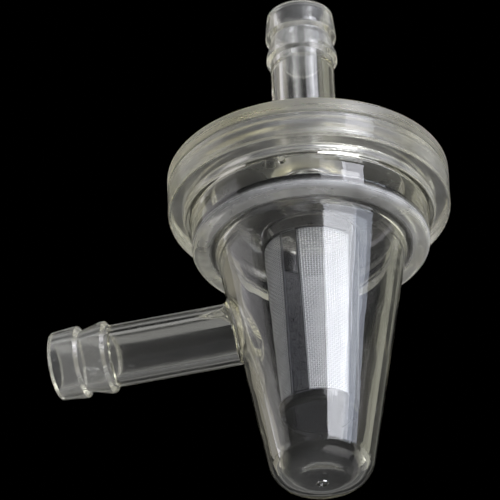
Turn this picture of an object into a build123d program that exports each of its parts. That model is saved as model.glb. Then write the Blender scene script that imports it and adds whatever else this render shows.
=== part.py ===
from build123d import *
import math
import os

# A clear 90-degree inline fuel filter, in millimetres.
#
# The origin is on the filter's axis, in the plane where the cap is welded to the bowl.
# +Z runs up the axis towards the cap's nipple, and the side nipple points along -X.

# ---- Driving dimensions ---------------------------------------------------------------------

# Both hose nipples end alike.
AXIAL_TUBE_R = 3.55         # plain part of the cap's nipple
SIDE_TUBE_R = 3.45          # plain part of the side nipple
TIP_R = 3.75                # a nipple's end
CREST_R = 4.0               # top of a hose barb
WAIST_R = 3.4               # between the two barbs
CREST_LAND = 0.5            # short straight length on top of a barb
BARB_PITCH = 3.1            # crest to crest
TIP_TO_CREST = 2.75         # nipple's end to the middle of the first crest
SHOULDER = 0.35             # length of the steep side of a barb
BORE_R = 2.3                # fuel passage
MOUTH_R = 2.55              # wider passage through the barbed end
MOUTH_STEP = 0.2            # length of the step between the two
MOUTH_CHAMFER = 0.25
BARBED_LENGTH = 6.7         # nipple's end to the step in the passage

AXIAL_TIP_Z = 23.4
AXIAL_ROOT_FILLET = 0.8
SIDE_TIP_X = -29.45
SIDE_AXIS_Z = -16.85
SIDE_ROOT_FILLET = 0.7

# Flange, cup and cone of the bowl, from outside.
RIM_R = 15.6
CAP_TOP_Z = 1.8
FLANGE_Z = -3.1             # underside of the flange
COLLAR_STEP_R = 13.85       # low step between the flange and the cup
COLLAR_STEP_Z = -4.0
CUP_R = 13.1
CUP_Z = -8.0                # underside of the cup
CUP_CORNER = 0.7
CONE_TOP_R = 10.5           # where the cone's line meets the cup's underside
CONE_TOP_FILLET = 0.8
CONE_END_R = 5.25           # where the cone's line meets the floor
FLOOR_Z = -37.25
FLOOR_CORNER = 3.2
WALL = 1.3
INSIDE_CORNER = 0.6         # where the cup's inside turns into the cone's

# The weld: a low ridge under the cap sits in a groove in the flange. A hairline gap shows beside it.
WELD_GAP = 0.04
WELD_DEPTH = 0.3
WELD_R = 13.6
WELD_HALF_WIDTH = 0.4

# What hangs under the cap inside the bowl.
TONGUE_FIT = 0.1            # radial gap between the cap's tongue and the cup
TONGUE_DEPTH = 1.9
TONGUE_WALL = 1.1
BOSS_R = 3.7                # round the passage
BOSS_Z = -1.2

# The screen is a basket: a moulded frame with mesh in its windows. Its flange is a press fit in the
# bottom of the cup, and below the flange come a short neck, four ribs and a closed end.
SCREEN_FIT = 0.03           # gap round the flange and round each panel of mesh
FLANGE_THICKNESS = 0.9
MESH_TOP_R = 5.06           # middle of the mesh
MESH_END_R = 3.87
MESH_TOP_Z = -8.4
MESH_END_Z = -28.1
MESH_THICKNESS = 0.24
RIB_PAIRS = 2
RIB_WIDTH = 1.9
RIB_PROUD = 0.4             # rib outside the middle of the mesh
RIB_INSET = 0.35            # rib inside the middle of the mesh
RIB_TURN = -13              # degrees from +X to the first rib
NECK_LIP = 0.15             # how far the lip above the mesh stands out from the neck
NECK_LIP_HEIGHT = 0.7
END_Z = -29.5
END_CORNER = 0.6

# Gate marks left by moulding.
GATE_STUB_R = 0.42
GATE_STUB_LENGTH = 0.55
GATE_STUB_X = 0.55
GATE_PAD = 1.1
GATE_PAD_HEIGHT = 0.2
GATE_PAD_X = -0.75
GATE_BELOW_STEP = 0.07      # from the step down to the top of both marks
FLOOR_GATE_R = 0.6
FLOOR_GATE_DEPTH = 0.2

# Corner radii and the little extra that a cutting shape reaches past what it cuts.
SHARP = 0.12
EDGE = 0.2
EASED = 0.3
BEYOND = 1.0

CONE_SLOPE = (CONE_TOP_R - CONE_END_R) / (CUP_Z - FLOOR_Z)
CONE_WALL_ACROSS = WALL * math.hypot(1, CONE_SLOPE)
SIDE_START = CONE_END_R     # the side nipple and its passage start this far from the axis


# ---- Helpers --------------------------------------------------------------------------------

def turned(outline):
    """Turn a closed outline of (radius, height, corner radius) about Z."""
    face = make_face(Polyline(*[(r, z) for r, z, corner in outline], close=True))
    for r, z, corner in outline:
        if corner:
            vertex = face.vertices().sort_by_distance((r, z, 0))[0]
            face = fillet(vertex, corner)
    return revolve(Plane.XZ * face, Axis.Z)


def cone_r(z):
    """Outside radius of the bowl's cone at height z."""
    return CONE_TOP_R + CONE_SLOPE * (z - CUP_Z)


def mesh_r(z):
    """Radius of the middle of the mesh at height z."""
    return MESH_TOP_R + (MESH_END_R - MESH_TOP_R) * (MESH_TOP_Z - z) / (MESH_TOP_Z - MESH_END_Z)


def barb(crest_z, foot_r):
    """The crest and shoulder of one barb, down to foot_r, for a nipple that points along +Z."""
    top = crest_z + CREST_LAND / 2
    bottom = crest_z - CREST_LAND / 2
    return [(CREST_R, top, SHARP), (CREST_R, bottom, SHARP), (foot_r, bottom - SHOULDER, SHARP)]


def nipple_side(tip_z, tube_r):
    """Outside of a nipple that points along +Z, from the middle of its end down past its barbs."""
    first_crest = tip_z - TIP_TO_CREST
    end = [(0, tip_z, 0), (TIP_R, tip_z, EDGE)]
    return end + barb(first_crest, WAIST_R) + barb(first_crest - BARB_PITCH, tube_r)


def passage(start_z, tip_z):
    """The hole through a nipple that points along +Z, a little longer than the nipple."""
    step_z = tip_z - BARBED_LENGTH
    return turned([
        (0, start_z, 0),
        (BORE_R, start_z, 0),
        (BORE_R, step_z - MOUTH_STEP, 0),
        (MOUTH_R, step_z, 0),
        (MOUTH_R, tip_z - MOUTH_CHAMFER, 0),
        (MOUTH_R + MOUTH_CHAMFER, tip_z, 0),
        (MOUTH_R + MOUTH_CHAMFER, tip_z + BEYOND, 0),
        (0, tip_z + BEYOND, 0),
    ])


def sideways(shape):
    """Lay a nipple that points along +Z down along -X, at the height of the side nipple."""
    return Pos(0, 0, SIDE_AXIS_Z) * Rot(0, -90, 0) * shape


def along_mesh(inset, proud, gap=0):
    """A tapered sleeve that follows the mesh, from inset inside its middle to proud outside it."""
    top = MESH_TOP_Z - gap
    end = MESH_END_Z + gap
    return turned([
        (mesh_r(top) - inset, top, 0),
        (mesh_r(top) + proud, top, 0),
        (mesh_r(end) + proud, end, 0),
        (mesh_r(end) - inset, end, 0),
    ])


def rib_bars(width):
    """Upright bars across the axis, one for each pair of opposite ribs."""
    reach = 2 * (MESH_TOP_R + BEYOND)
    height = MESH_TOP_Z - MESH_END_Z + BEYOND
    middle = (MESH_TOP_Z + MESH_END_Z) / 2
    turns = [RIB_TURN + 180 * i / RIB_PAIRS for i in range(RIB_PAIRS)]
    return [Pos(0, 0, middle) * Rot(0, 0, turn) * Box(reach, width, height) for turn in turns]


# ---- Pieces ---------------------------------------------------------------------------------

def make_cap():
    tongue_r = CUP_R - WALL - TONGUE_FIT
    body = turned(nipple_side(AXIAL_TIP_Z, AXIAL_TUBE_R) + [
        (AXIAL_TUBE_R, CAP_TOP_Z, AXIAL_ROOT_FILLET),
        (RIM_R, CAP_TOP_Z, EASED),
        (RIM_R, WELD_GAP, EDGE),
        (WELD_R + WELD_HALF_WIDTH, WELD_GAP, 0),
        (WELD_R, WELD_GAP - WELD_DEPTH, 0),
        (WELD_R - WELD_HALF_WIDTH, WELD_GAP, 0),
        (tongue_r, WELD_GAP, 0),
        (tongue_r, -TONGUE_DEPTH, EDGE),
        (tongue_r - TONGUE_WALL, -TONGUE_DEPTH, EDGE),
        (tongue_r - TONGUE_WALL, WELD_GAP, EASED),
        (BOSS_R, WELD_GAP, EASED),
        (BOSS_R, BOSS_Z, EDGE),
        (0, BOSS_Z, 0),
    ])
    return body - passage(BOSS_Z - BEYOND, AXIAL_TIP_Z)


def make_bowl_shell():
    return turned([
        (0, 0, 0),
        (WELD_R - WELD_HALF_WIDTH, 0, 0),
        (WELD_R, -WELD_DEPTH, 0),
        (WELD_R + WELD_HALF_WIDTH, 0, 0),
        (RIM_R, 0, EDGE),
        (RIM_R, FLANGE_Z, EASED),
        (COLLAR_STEP_R, FLANGE_Z, EDGE),
        (COLLAR_STEP_R, COLLAR_STEP_Z, EASED),
        (CUP_R, COLLAR_STEP_Z, EDGE),
        (CUP_R, CUP_Z, CUP_CORNER),
        (CONE_TOP_R, CUP_Z, CONE_TOP_FILLET),
        (CONE_END_R, FLOOR_Z, FLOOR_CORNER),
        (0, FLOOR_Z, 0),
    ])


def make_bowl_hollow():
    cup_inside_z = CUP_Z + WALL
    floor_inside_z = FLOOR_Z + WALL
    return turned([
        (0, BEYOND, 0),
        (CUP_R - WALL, BEYOND, 0),
        (CUP_R - WALL, cup_inside_z, INSIDE_CORNER),
        (cone_r(cup_inside_z) - CONE_WALL_ACROSS, cup_inside_z, INSIDE_CORNER),
        (cone_r(floor_inside_z) - CONE_WALL_ACROSS, floor_inside_z, FLOOR_CORNER - WALL),
        (0, floor_inside_z, 0),
    ])


def make_side_nipple():
    """The side nipple without its passage. It starts inside the cone, where the hollow is cut later."""
    outside = nipple_side(-SIDE_TIP_X, SIDE_TUBE_R)
    return sideways(turned(outside + [(SIDE_TUBE_R, SIDE_START, 0), (0, SIDE_START, 0)]))


def make_gate_marks():
    """A sheared gate stub with its pad, on the cup just under the step."""
    top_z = COLLAR_STEP_Z - GATE_BELOW_STEP
    stub = Rot(90, 0, 0) * Cylinder(GATE_STUB_R, 2 * GATE_STUB_LENGTH)
    stub = Pos(GATE_STUB_X, -CUP_R, top_z - GATE_STUB_R) * stub
    pad = Pos(GATE_PAD_X, -CUP_R, top_z - GATE_PAD / 2) * Box(GATE_PAD, 2 * GATE_PAD_HEIGHT, GATE_PAD)
    return stub + fillet(pad.edges().filter_by(Axis.Y), EDGE)


def make_floor_gate():
    """A shallow round dimple in the middle of the floor, with what is left of the gate in it."""
    dimple = Pos(0, 0, FLOOR_Z) * Cylinder(FLOOR_GATE_R, 2 * FLOOR_GATE_DEPTH)
    stub = Pos(0, 0, FLOOR_Z + FLOOR_GATE_DEPTH) * Cylinder(FLOOR_GATE_R / 2, FLOOR_GATE_DEPTH)
    return dimple - stub


def make_bowl():
    shell = make_bowl_shell()
    nipple = make_side_nipple()
    joined = shell + nipple
    joined = fillet(new_edges(shell, nipple, combined=joined), SIDE_ROOT_FILLET)
    joined = joined + make_gate_marks()
    passage_cut = sideways(passage(SIDE_START, -SIDE_TIP_X))
    return joined - make_bowl_hollow() - passage_cut - make_floor_gate()


def make_screen_flange():
    """The basket's upper end: a flat flange on the step inside the cup, then a neck and its lip."""
    ledge_z = CUP_Z + WALL
    flange_r = CUP_R - WALL - SCREEN_FIT
    lip_r = MESH_TOP_R + RIB_PROUD
    neck_r = lip_r - NECK_LIP
    neck_inner = MESH_TOP_R - RIB_INSET
    return turned([
        (neck_inner, ledge_z + FLANGE_THICKNESS, EASED),
        (flange_r, ledge_z + FLANGE_THICKNESS, EDGE),
        (flange_r, ledge_z + SCREEN_FIT, INSIDE_CORNER),
        (neck_r, ledge_z + SCREEN_FIT, EASED),
        (neck_r, MESH_TOP_Z + NECK_LIP_HEIGHT, 0),
        (lip_r, MESH_TOP_Z + NECK_LIP_HEIGHT - NECK_LIP, 0),
        (lip_r, MESH_TOP_Z, SHARP),
        (neck_inner, MESH_TOP_Z, SHARP),
    ])


def make_screen_end():
    """The basket's closed lower end."""
    end_r = MESH_END_R + RIB_PROUD
    return turned([
        (0, MESH_END_Z, 0),
        (end_r, MESH_END_Z, SHARP),
        (end_r, END_Z, END_CORNER),
        (0, END_Z, 0),
    ])


def make_screen_frame():
    sleeve = along_mesh(RIB_INSET, RIB_PROUD)
    ribs = [sleeve & bar for bar in rib_bars(RIB_WIDTH)]
    return make_screen_flange() + make_screen_end() + ribs


def make_screen_mesh():
    """Four panels of mesh, one in each window of the frame."""
    half = MESH_THICKNESS / 2
    return along_mesh(half, half, SCREEN_FIT) - rib_bars(RIB_WIDTH + 2 * SCREEN_FIT)


os.makedirs("parts", exist_ok=True)
for name, make in {
    "cap": make_cap,
    "bowl": make_bowl,
    "screen_frame": make_screen_frame,
    "screen_mesh": make_screen_mesh,
}.items():
    export_step(make(), f"parts/{name}.step")
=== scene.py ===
import math

import bpy
from mathutils import Matrix, Vector


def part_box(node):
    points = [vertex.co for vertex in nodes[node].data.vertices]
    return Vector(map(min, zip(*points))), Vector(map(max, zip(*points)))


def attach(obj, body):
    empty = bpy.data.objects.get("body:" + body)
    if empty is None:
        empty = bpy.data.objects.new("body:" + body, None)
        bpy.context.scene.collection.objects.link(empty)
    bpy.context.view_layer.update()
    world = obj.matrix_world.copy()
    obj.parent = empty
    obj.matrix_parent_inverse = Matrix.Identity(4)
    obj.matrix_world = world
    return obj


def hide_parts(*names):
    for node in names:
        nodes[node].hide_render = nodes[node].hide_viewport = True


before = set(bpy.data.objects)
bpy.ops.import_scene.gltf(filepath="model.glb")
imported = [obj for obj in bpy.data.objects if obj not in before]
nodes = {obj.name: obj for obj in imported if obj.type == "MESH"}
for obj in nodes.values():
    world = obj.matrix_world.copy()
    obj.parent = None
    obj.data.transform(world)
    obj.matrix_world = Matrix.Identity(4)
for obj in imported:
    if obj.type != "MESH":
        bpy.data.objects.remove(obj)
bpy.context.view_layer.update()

MM = 0.001

# ---- Camera ---------------------------------------------------------------------------------
# The photograph looks up at the filter from below, from a little to the right of its front.

VIEW_AZIMUTH = math.radians(15.12)
VIEW_ELEVATION = math.radians(-32.53)
VIEW_ROLL = math.radians(-2.33)
VIEW_DISTANCE = 0.45
LENS = 292.5                # both in millimetres
SENSOR = 36
AIM_RIGHT = -6.465 * MM     # from the frame's origin to the middle of the picture
AIM_UP = -6.64 * MM


def towards(azimuth, elevation):
    """Unit vector from the filter towards a place at that azimuth (from -Y towards +X) and elevation."""
    level = math.cos(elevation)
    return Vector((math.sin(azimuth) * level, -math.cos(azimuth) * level, math.sin(elevation)))


def make_camera():
    back = towards(VIEW_AZIMUTH, VIEW_ELEVATION)
    right = Vector((0, 0, 1)).cross(back).normalized()
    up = back.cross(right)
    turned_right = math.cos(VIEW_ROLL) * right + math.sin(VIEW_ROLL) * up
    turned_up = back.cross(turned_right)
    aim = AIM_RIGHT * turned_right + AIM_UP * turned_up
    data = bpy.data.cameras.new("camera")
    data.lens = LENS
    data.sensor_width = SENSOR
    data.clip_start = 0.01
    data.clip_end = 50
    camera = bpy.data.objects.new("camera", data)
    rotation = Matrix((turned_right, turned_up, back)).transposed()
    camera.matrix_world = Matrix.Translation(aim + VIEW_DISTANCE * back) @ rotation.to_4x4()
    bpy.context.scene.collection.objects.link(camera)
    bpy.context.scene.camera = camera


# ---- Material helpers -----------------------------------------------------------------------

class Nodes:
    """A material's node tree, with short calls to add and join nodes."""

    def __init__(self, name):
        self.material = bpy.data.materials.new(name)
        self.material.use_nodes = True
        self.tree = self.material.node_tree
        self.tree.nodes.clear()
        self.output = self.add("ShaderNodeOutputMaterial")

    def add(self, kind, **settings):
        node = self.tree.nodes.new(kind)
        for key, value in settings.items():
            setattr(node, key, value)
        return node

    def join(self, source, target):
        self.tree.links.new(source, target)

    def place(self):
        """Object coordinates, in metres, in the CAD frame."""
        return self.add("ShaderNodeTexCoord").outputs["Object"]

    def scaled(self, vector, scale):
        mapping = self.add("ShaderNodeMapping")
        mapping.inputs["Scale"].default_value = scale
        self.join(vector, mapping.inputs["Vector"])
        return mapping.outputs["Vector"]

    def noise(self, vector, scale, detail=3.0):
        """Noise of that many cells to the metre, mostly from 0.3 to 0.7."""
        noise = self.add("ShaderNodeTexNoise")
        noise.inputs["Scale"].default_value = scale
        noise.inputs["Detail"].default_value = detail
        self.join(vector, noise.inputs["Vector"])
        return noise.outputs["Fac"]

    def ranged(self, value, low, high, to_low, to_high, smooth=False):
        node = self.add("ShaderNodeMapRange")
        if smooth:
            node.interpolation_type = "SMOOTHSTEP"
        self.join(value, node.inputs["Value"])
        node.inputs["From Min"].default_value = low
        node.inputs["From Max"].default_value = high
        node.inputs["To Min"].default_value = to_low
        node.inputs["To Max"].default_value = to_high
        return node.outputs["Result"]

    def spread(self, noise, low, high):
        """Noise stretched to run from low to high."""
        return self.ranged(noise, 0.3, 0.7, low, high)

    def math(self, operation, a, b):
        node = self.add("ShaderNodeMath", operation=operation)
        for socket, value in zip(node.inputs, (a, b)):
            if isinstance(value, (int, float)):
                socket.default_value = value
            else:
                self.join(value, socket)
        return node.outputs["Value"]

    def band(self, value, low, high, soft):
        """1 from low to high, fading to 0 over a soft distance on either side."""
        rise = self.ranged(value, low - soft, low, 0.0, 1.0, smooth=True)
        fall = self.ranged(value, high, high + soft, 1.0, 0.0, smooth=True)
        return self.math("MULTIPLY", rise, fall)

    def above(self, value, start, soft):
        """0 up to start, rising to 1 over a soft distance."""
        return self.ranged(value, start, start + soft, 0.0, 1.0, smooth=True)

    def below(self, value, end, soft):
        """0 from end on, and 1 before it, changing over a soft distance."""
        return self.ranged(value, end - soft, end, 1.0, 0.0, smooth=True)

    def colour_mix(self, factor, a, b):
        node = self.add("ShaderNodeMix", data_type="RGBA")
        self.join(factor, node.inputs["Factor"])
        node.inputs["A"].default_value = (*a, 1)
        node.inputs["B"].default_value = (*b, 1)
        return node.outputs["Result"]

    def bump(self, height, distance):
        node = self.add("ShaderNodeBump")
        node.inputs["Strength"].default_value = 1.0
        node.inputs["Distance"].default_value = distance
        self.join(height, node.inputs["Height"])
        return node.outputs["Normal"]

    def plastic(self, refraction, transmission, colour, rough, normal):
        shader = self.add("ShaderNodeBsdfPrincipled")
        shader.inputs["IOR"].default_value = refraction
        self.join(transmission, shader.inputs["Transmission Weight"])
        self.join(colour, shader.inputs["Base Color"])
        self.join(rough, shader.inputs["Roughness"])
        self.join(normal, shader.inputs["Normal"])
        return shader

    def let_lamps_through(self, shader, share):
        """Finish a clear surface: rays towards the lamps pass straight through that share of it."""
        path = self.add("ShaderNodeLightPath")
        clear = self.add("ShaderNodeBsdfTransparent")
        clear.inputs["Color"].default_value = (share, share, share, 1)
        mix = self.add("ShaderNodeMixShader")
        self.join(path.outputs["Is Shadow Ray"], mix.inputs["Fac"])
        self.join(shader.outputs[0], mix.inputs[1])
        self.join(clear.outputs[0], mix.inputs[2])
        self.join(mix.outputs[0], self.output.inputs["Surface"])

    def absorb(self, colour, density):
        volume = self.add("ShaderNodeVolumeAbsorption")
        volume.inputs["Color"].default_value = (*colour, 1)
        volume.inputs["Density"].default_value = density
        self.join(volume.outputs[0], self.output.inputs["Volume"])


# ---- Materials ------------------------------------------------------------------------------

RIM_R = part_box("cap")[1].x
CAP_TIP_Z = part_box("cap")[1].z
SIDE_TIP_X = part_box("bowl")[0].x
FLANGE_Z = -3.1 * MM        # underside of the flange
STEP_R = 13.7 * MM          # just inside the low step under the flange
STEP_Z = -4.0 * MM
CUP_Z = -8.0 * MM           # underside of the cup
CONE_TOP_R = 10.5 * MM
TONGUE_R = 10.5 * MM        # just inside the cap's tongue
TONGUE_Z = -1.9 * MM
CAP_TOP_Z = 1.9 * MM        # just above the cap's plate, where its nipple starts
NIPPLE_X = -11.5 * MM       # just outside the cone, where the side nipple starts
BARBED = 7.5 * MM           # a nipple's end to just past its barbs

CLOUDS = 300                # noise cells to the metre
STREAKS = 4000
SCUFFS = 900
SPECKS = 3500
WAVES = 160
WAVE_HEIGHT = 0.12 * MM
CLEAR_REFRACTION = 1.49
CLEAR_DENSITY = 90

FRAME_REFRACTION = 1.5
# The frame's grey tint and its density are painted shade: they darken the ribs, the neck and the end into
# dark bands.
FRAME_SHADE_TINT = (0.30, 0.30, 0.34)
FRAME_SHADE_DENSITY = 1600
THREAD_REFRACTION = 1.53
FLOOR_GLOW = 0.08

WEAR = {                    # more haze, more roughness
    "step": (0.15, 0.20),
    "under_cup": (0.40, 0.30),
    "under_cap": (0.01, 0.30),
    "nipples": (0.0, 0.10),
    "barbs": (0.05, 0.03),
}


def axes_and_radius(n, place):
    """X and Z, and the distance from the filter's axis."""
    axes = n.add("ShaderNodeSeparateXYZ")
    n.join(place, axes.inputs[0])
    flat = n.add("ShaderNodeVectorMath", operation="MULTIPLY")
    n.join(place, flat.inputs[0])
    flat.inputs[1].default_value = (1, 1, 0)
    length = n.add("ShaderNodeVectorMath", operation="LENGTH")
    n.join(flat.outputs[0], length.inputs[0])
    return axes.outputs["X"], axes.outputs["Z"], length.outputs["Value"]


def worn_places(n, place):
    """For each place that is worn or hazy, a mask that is 1 on it and 0 elsewhere."""
    x, z, radius = axes_and_radius(n, place)

    def ring(inner, outer, soft_r, low, high, soft_z):
        return n.math("MULTIPLY", n.band(radius, inner, outer, soft_r), n.band(z, low, high, soft_z))

    cap_nipple = n.above(z, CAP_TOP_Z, 1 * MM)
    side_nipple = n.math("MULTIPLY", n.below(x, NIPPLE_X, 1 * MM),
                         n.ranged(z, CUP_Z - 2 * MM, CUP_Z - 1 * MM, 1.0, 0.0))
    cap_barbs = n.above(z, CAP_TIP_Z - BARBED, 2 * MM)
    side_barbs = n.below(x, SIDE_TIP_X + BARBED, 2 * MM)
    return {
        "rim": ring(RIM_R - 0.1 * MM, 2 * RIM_R, 0.2 * MM, FLANGE_Z, CAP_TIP_Z, 0.2 * MM),
        "step": ring(STEP_R, RIM_R, 0.1 * MM, STEP_Z, FLANGE_Z, 0.1 * MM),
        "under_cup": ring(CONE_TOP_R + 0.9 * MM, STEP_R, 0.5 * MM,
                          CUP_Z - 0.1 * MM, CUP_Z + 0.4 * MM, 0.7 * MM),
        "under_cap": ring(0.0, TONGUE_R, 0.2 * MM, TONGUE_Z, 0.1 * MM, 0.2 * MM),
        "nipples": n.math("ADD", cap_nipple, side_nipple),
        "barbs": n.math("ADD", cap_barbs, side_barbs),
    }


def clear_plastic(name, tint, rim_wear):
    """Clear moulded plastic, yellow in its depth, worn or hazy in the places that WEAR lists."""
    n = Nodes(name)
    place = n.place()
    masks = worn_places(n, place)
    wear = {"rim": rim_wear, **WEAR}
    cloud = n.noise(place, CLOUDS)
    streaks = n.noise(n.scaled(place, (0.03, 0.03, 1)), STREAKS)
    scuff = n.noise(n.scaled(place, (1, 1, 8)), SCUFFS, detail=4)
    specks = n.ranged(n.noise(place, SPECKS, detail=2), 0.72, 0.80, 0.0, 0.4)
    haze = n.math("ADD", specks, n.spread(cloud, 0.0, 0.008))
    rough = n.ranged(scuff, 0.45, 0.75, 0.005, 0.05)
    for part, (more_haze, more_rough) in wear.items():
        patchy = n.math("MULTIPLY", masks[part], n.spread(cloud, 0.6, 1.4))
        haze = n.math("ADD", haze, n.math("MULTIPLY", patchy, more_haze))
        streaky = n.math("MULTIPLY", masks[part], n.spread(streaks, 0.6, 1.2))
        rough = n.math("ADD", rough, n.math("MULTIPLY", streaky, more_rough))

    transmission = n.math("SUBTRACT", 0.998, haze)
    colour = n.colour_mix(cloud, (0.94, 0.94, 0.92), (0.98, 0.98, 0.97))
    rim_streaks = n.math("MULTIPLY", masks["rim"], n.math("MULTIPLY", streaks, 0.15))
    height = n.math("ADD", n.noise(place, WAVES, detail=1), rim_streaks)
    shader = n.plastic(CLEAR_REFRACTION, transmission, colour, rough, n.bump(height, WAVE_HEIGHT))
    n.let_lamps_through(shader, share=0.9)
    n.absorb(tint, CLEAR_DENSITY)
    return n.material


def screen_frame():
    """Grey absorbing plastic: painted shade that makes the ribs, the neck and the end read as dark bands,
    standing in for the unlit inside of the screen.
    """
    n = Nodes("screen_frame")
    place = n.place()
    cloud = n.noise(place, scale=500)
    transmission = n.spread(cloud, 0.985, 0.998)
    colour = n.colour_mix(cloud, (0.84, 0.84, 0.86), (0.94, 0.94, 0.95))
    rough = n.spread(cloud, 0.02, 0.07)
    ripple = n.bump(n.noise(place, scale=900, detail=2), 0.03 * MM)
    shader = n.plastic(FRAME_REFRACTION, transmission, colour, rough, ripple)
    n.let_lamps_through(shader, share=0.5)
    # Painted shade: grey absorption in the frame's depth stands in for the unlit inside of the screen.
    n.absorb(FRAME_SHADE_TINT, FRAME_SHADE_DENSITY)
    return n.material


def screen_thread():
    """Milky plastic thread that lets a little light through."""
    n = Nodes("screen_thread")
    place = n.place()
    cloud = n.noise(place, scale=700)
    transmission = n.spread(cloud, 0.2, 0.4)
    colour = n.colour_mix(cloud, (0.72, 0.73, 0.76), (0.84, 0.85, 0.88))
    rough = n.spread(cloud, 0.12, 0.25)
    ripple = n.bump(n.noise(place, scale=4000, detail=1), 0.01 * MM)
    shader = n.plastic(THREAD_REFRACTION, transmission, colour, rough, ripple)
    n.let_lamps_through(shader, share=0.05)
    return n.material


def pale_floor():
    """Matt, pale and unlit but for the lamps' spill, with a faint glow of its own."""
    n = Nodes("pale_floor")
    shader = n.add("ShaderNodeBsdfPrincipled")
    cloud = n.noise(n.place(), scale=3)
    n.join(n.colour_mix(cloud, (0.70, 0.70, 0.69), (0.74, 0.74, 0.73)), shader.inputs["Base Color"])
    shader.inputs["Roughness"].default_value = 0.8
    shader.inputs["Emission Color"].default_value = (1, 1, 1, 1)
    shader.inputs["Emission Strength"].default_value = FLOOR_GLOW
    n.join(shader.outputs[0], n.output.inputs["Surface"])
    return n.material


def dress(obj, material):
    obj.data.materials.clear()
    obj.data.materials.append(material)


# ---- Mesh of the screen ---------------------------------------------------------------------
# Real threads, over and under each other, in the four windows of the screen's frame.

THREAD_R = 0.075 * MM
THREAD_LIFT = 0.045 * MM    # over or under the crossing thread
THREAD_PITCH = 0.25 * MM
MESH_TOP_R = 5.06 * MM      # to the middle of the mesh, as in the CAD model
MESH_END_R = 3.87 * MM
RIB_WIDTH = 1.9 * MM
RIB_TURN = math.radians(-13)
WINDOWS = 4
INTO_FRAME = 0.1 * MM       # how far a thread runs on into the frame
THREAD_SIDES = 4


def add_thread(verts, faces, points):
    """Add a thin square tube with closed ends along those points."""
    first = len(verts)
    last = len(points) - 1
    for i, p in enumerate(points):
        along = (points[min(i + 1, last)] - points[max(i - 1, 0)]).normalized()
        side = along.cross(Vector((p.x, p.y, 0))).normalized()
        out = side.cross(along)
        verts += [p + THREAD_R * out, p + THREAD_R * side, p - THREAD_R * out, p - THREAD_R * side]
    for i in range(last):
        ring = first + THREAD_SIDES * i
        for k in range(THREAD_SIDES):
            m = (k + 1) % THREAD_SIDES
            faces.append((ring + k, ring + m, ring + THREAD_SIDES + m, ring + THREAD_SIDES + k))
    faces.append(tuple(first + k for k in reversed(range(THREAD_SIDES))))
    faces.append(tuple(first + THREAD_SIDES * last + k for k in range(THREAD_SIDES)))


def make_cloth(name, threads, material):
    """One piece from many threads. Each thread is a list of points."""
    verts = []
    faces = []
    for points in threads:
        add_thread(verts, faces, points)
    mesh = bpy.data.meshes.new(name)
    mesh.from_pydata(verts, [], faces)
    mesh.shade_smooth()
    piece = bpy.data.objects.new(name, mesh)
    bpy.context.scene.collection.objects.link(piece)
    dress(piece, material)
    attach(piece, "root")
    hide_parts("screen_mesh")


def weave(material):
    low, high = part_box("screen_mesh")
    window = 2 * math.pi / WINDOWS
    middle_r = (MESH_TOP_R + MESH_END_R) / 2
    rows = round((high.z - low.z) / THREAD_PITCH)
    columns = round((window * middle_r - RIB_WIDTH) / THREAD_PITCH)

    def on_window(number, column, row, lift):
        """A place on one window: column runs from rib to rib and row from top to end."""
        share = row / rows
        r = MESH_TOP_R + (MESH_END_R - MESH_TOP_R) * share
        half_rib = math.asin((RIB_WIDTH / 2 - INTO_FRAME) / r)
        start = RIB_TURN + number * window + half_rib
        angle = start + (window - 2 * half_rib) * column / columns
        r += lift
        return Vector((r * math.cos(angle), r * math.sin(angle), high.z + (low.z - high.z) * share))

    def warp_lift(column, row):
        return THREAD_LIFT if (column + row) % 2 else -THREAD_LIFT

    def warp(number, column):
        return [on_window(number, column, row, warp_lift(column, row)) for row in range(rows + 1)]

    def weft(number, row):
        return [on_window(number, column, row, -warp_lift(column, row)) for column in range(columns + 1)]

    warps = []
    wefts = []
    for number in range(WINDOWS):
        warps += [warp(number, column) for column in range(columns + 1)]
        wefts += [weft(number, row) for row in range(rows + 1)]
    make_cloth("screen_warp", warps, material)
    make_cloth("screen_weft", wefts, material)


# ---- Stage ----------------------------------------------------------------------------------

FLOOR_Z = -0.8
FLOOR_HALF = 20.0
WORLD_GREY = 0.15           # below the horizon
WORLD_FADE = 0.3            # the height, as the sine of elevation, at which it has faded to black


def make_floor():
    mesh = bpy.data.meshes.new("floor")
    corners = [(x * FLOOR_HALF, y * FLOOR_HALF, FLOOR_Z) for x, y in ((-1, -1), (1, -1), (1, 1), (-1, 1))]
    mesh.from_pydata(corners, [], [(0, 1, 2, 3)])
    floor = bpy.data.objects.new("floor", mesh)
    bpy.context.scene.collection.objects.link(floor)
    dress(floor, pale_floor())


def make_world():
    """Grey below and at the horizon, fading to black higher up."""
    world = bpy.data.worlds.new("studio")
    bpy.context.scene.world = world
    world.use_nodes = True
    tree = world.node_tree
    tree.nodes.clear()
    place = tree.nodes.new("ShaderNodeTexCoord")
    split = tree.nodes.new("ShaderNodeSeparateXYZ")
    rise = tree.nodes.new("ShaderNodeMapRange")
    rise.interpolation_type = "SMOOTHSTEP"
    mix = tree.nodes.new("ShaderNodeMix")
    mix.data_type = "RGBA"
    back = tree.nodes.new("ShaderNodeBackground")
    out = tree.nodes.new("ShaderNodeOutputWorld")
    tree.links.new(place.outputs["Generated"], split.inputs[0])
    tree.links.new(split.outputs["Z"], rise.inputs["Value"])
    rise.inputs["From Min"].default_value = 0.0
    rise.inputs["From Max"].default_value = WORLD_FADE
    tree.links.new(rise.outputs["Result"], mix.inputs["Factor"])
    mix.inputs["A"].default_value = (WORLD_GREY, WORLD_GREY, WORLD_GREY, 1)
    mix.inputs["B"].default_value = (0.0, 0.0, 0.0, 1)
    tree.links.new(mix.outputs["Result"], back.inputs["Color"])
    tree.links.new(back.outputs[0], out.inputs["Surface"])


LAMP_DISTANCE = 0.7


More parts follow.
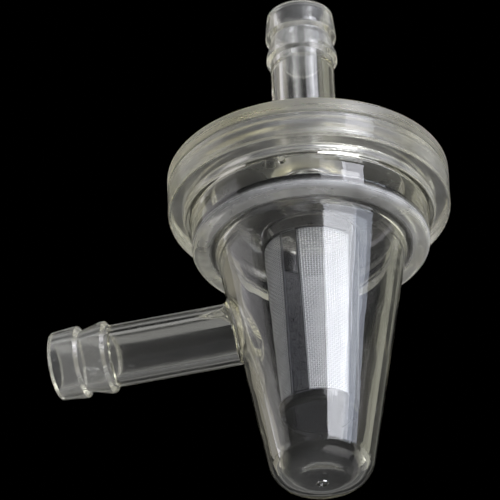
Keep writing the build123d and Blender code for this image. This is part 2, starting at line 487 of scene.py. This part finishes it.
def softbox(name, azimuth, elevation, width, height, radiance, tint):
    """A rectangular lamp facing the filter.

    Angles are in degrees. Azimuth is measured from the camera's, to its right.
    """
    data = bpy.data.lights.new(name, "AREA")
    data.shape = "RECTANGLE"
    data.size = 2 * LAMP_DISTANCE * math.tan(math.radians(width) / 2)
    data.size_y = 2 * LAMP_DISTANCE * math.tan(math.radians(height) / 2)
    data.energy = radiance * math.pi * data.size * data.size_y
    data.color = tint
    lamp = bpy.data.objects.new(name, data)
    back = towards(VIEW_AZIMUTH + math.radians(azimuth), math.radians(elevation))
    lamp.location = back * LAMP_DISTANCE
    lamp.rotation_mode = "QUATERNION"
    lamp.rotation_quaternion = back.to_track_quat("Z", "Y")
    lamp.visible_camera = False
    bpy.context.scene.collection.objects.link(lamp)


LAMPS = {                   # azimuth, elevation, width, height, radiance, tint
    "key": (34, 11, 38, 22, 6.8, (0.89, 0.91, 1.0)),
    "key_side": (64, 11, 23, 22, 4.0, (0.78, 0.84, 1.0)),
    "key_top": (24, 33, 20, 20, 3.2, (0.90, 0.91, 1.0)),
    "key_spot": (43, 33, 18, 20, 8.0, (0.90, 0.91, 1.0)),
    "low_front": (45, -45, 60, 30, 1.0, (1.0, 0.98, 1.0)),
    "low_right": (112, -15, 45, 30, 1.2, (1.0, 1.0, 0.88)),
    "top_right": (90, 53, 50, 20, 0.6, (0.9, 0.9, 1.0)),
    "left": (-100, 27, 46, 46, 0.7, (0.95, 0.93, 1.0)),
    "low_left": (-112, -15, 45, 30, 0.3, (1.0, 0.94, 0.82)),
    "top": (-45, 78, 60, 24, 0.3, (1.0, 1.0, 1.0)),
    "back_right": (130, 25, 40, 42, 0.25, (1.0, 1.0, 0.85)),
    "back_left": (-140, 25, 30, 42, 0.2, (1.0, 0.95, 0.8)),
    "back_top": (150, 53, 60, 20, 0.2, (1.0, 1.0, 1.0)),
}


def set_cycles():
    scene = bpy.context.scene
    scene.view_settings.view_transform = "Standard"
    scene.cycles.use_denoising = True
    scene.cycles.max_bounces = 20
    scene.cycles.transmission_bounces = 20
    scene.cycles.glossy_bounces = 8
    scene.cycles.transparent_max_bounces = 24


make_camera()
set_cycles()
make_world()
for name, values in LAMPS.items():
    softbox(name, *values)
make_floor()

dress(nodes["cap"], clear_plastic("cap_plastic", (0.91, 0.88, 0.70), (0.10, 0.35)))
dress(nodes["bowl"], clear_plastic("bowl_plastic", (0.90, 0.88, 0.72), (0.10, 0.20)))
dress(nodes["screen_frame"], screen_frame())
weave(screen_thread())
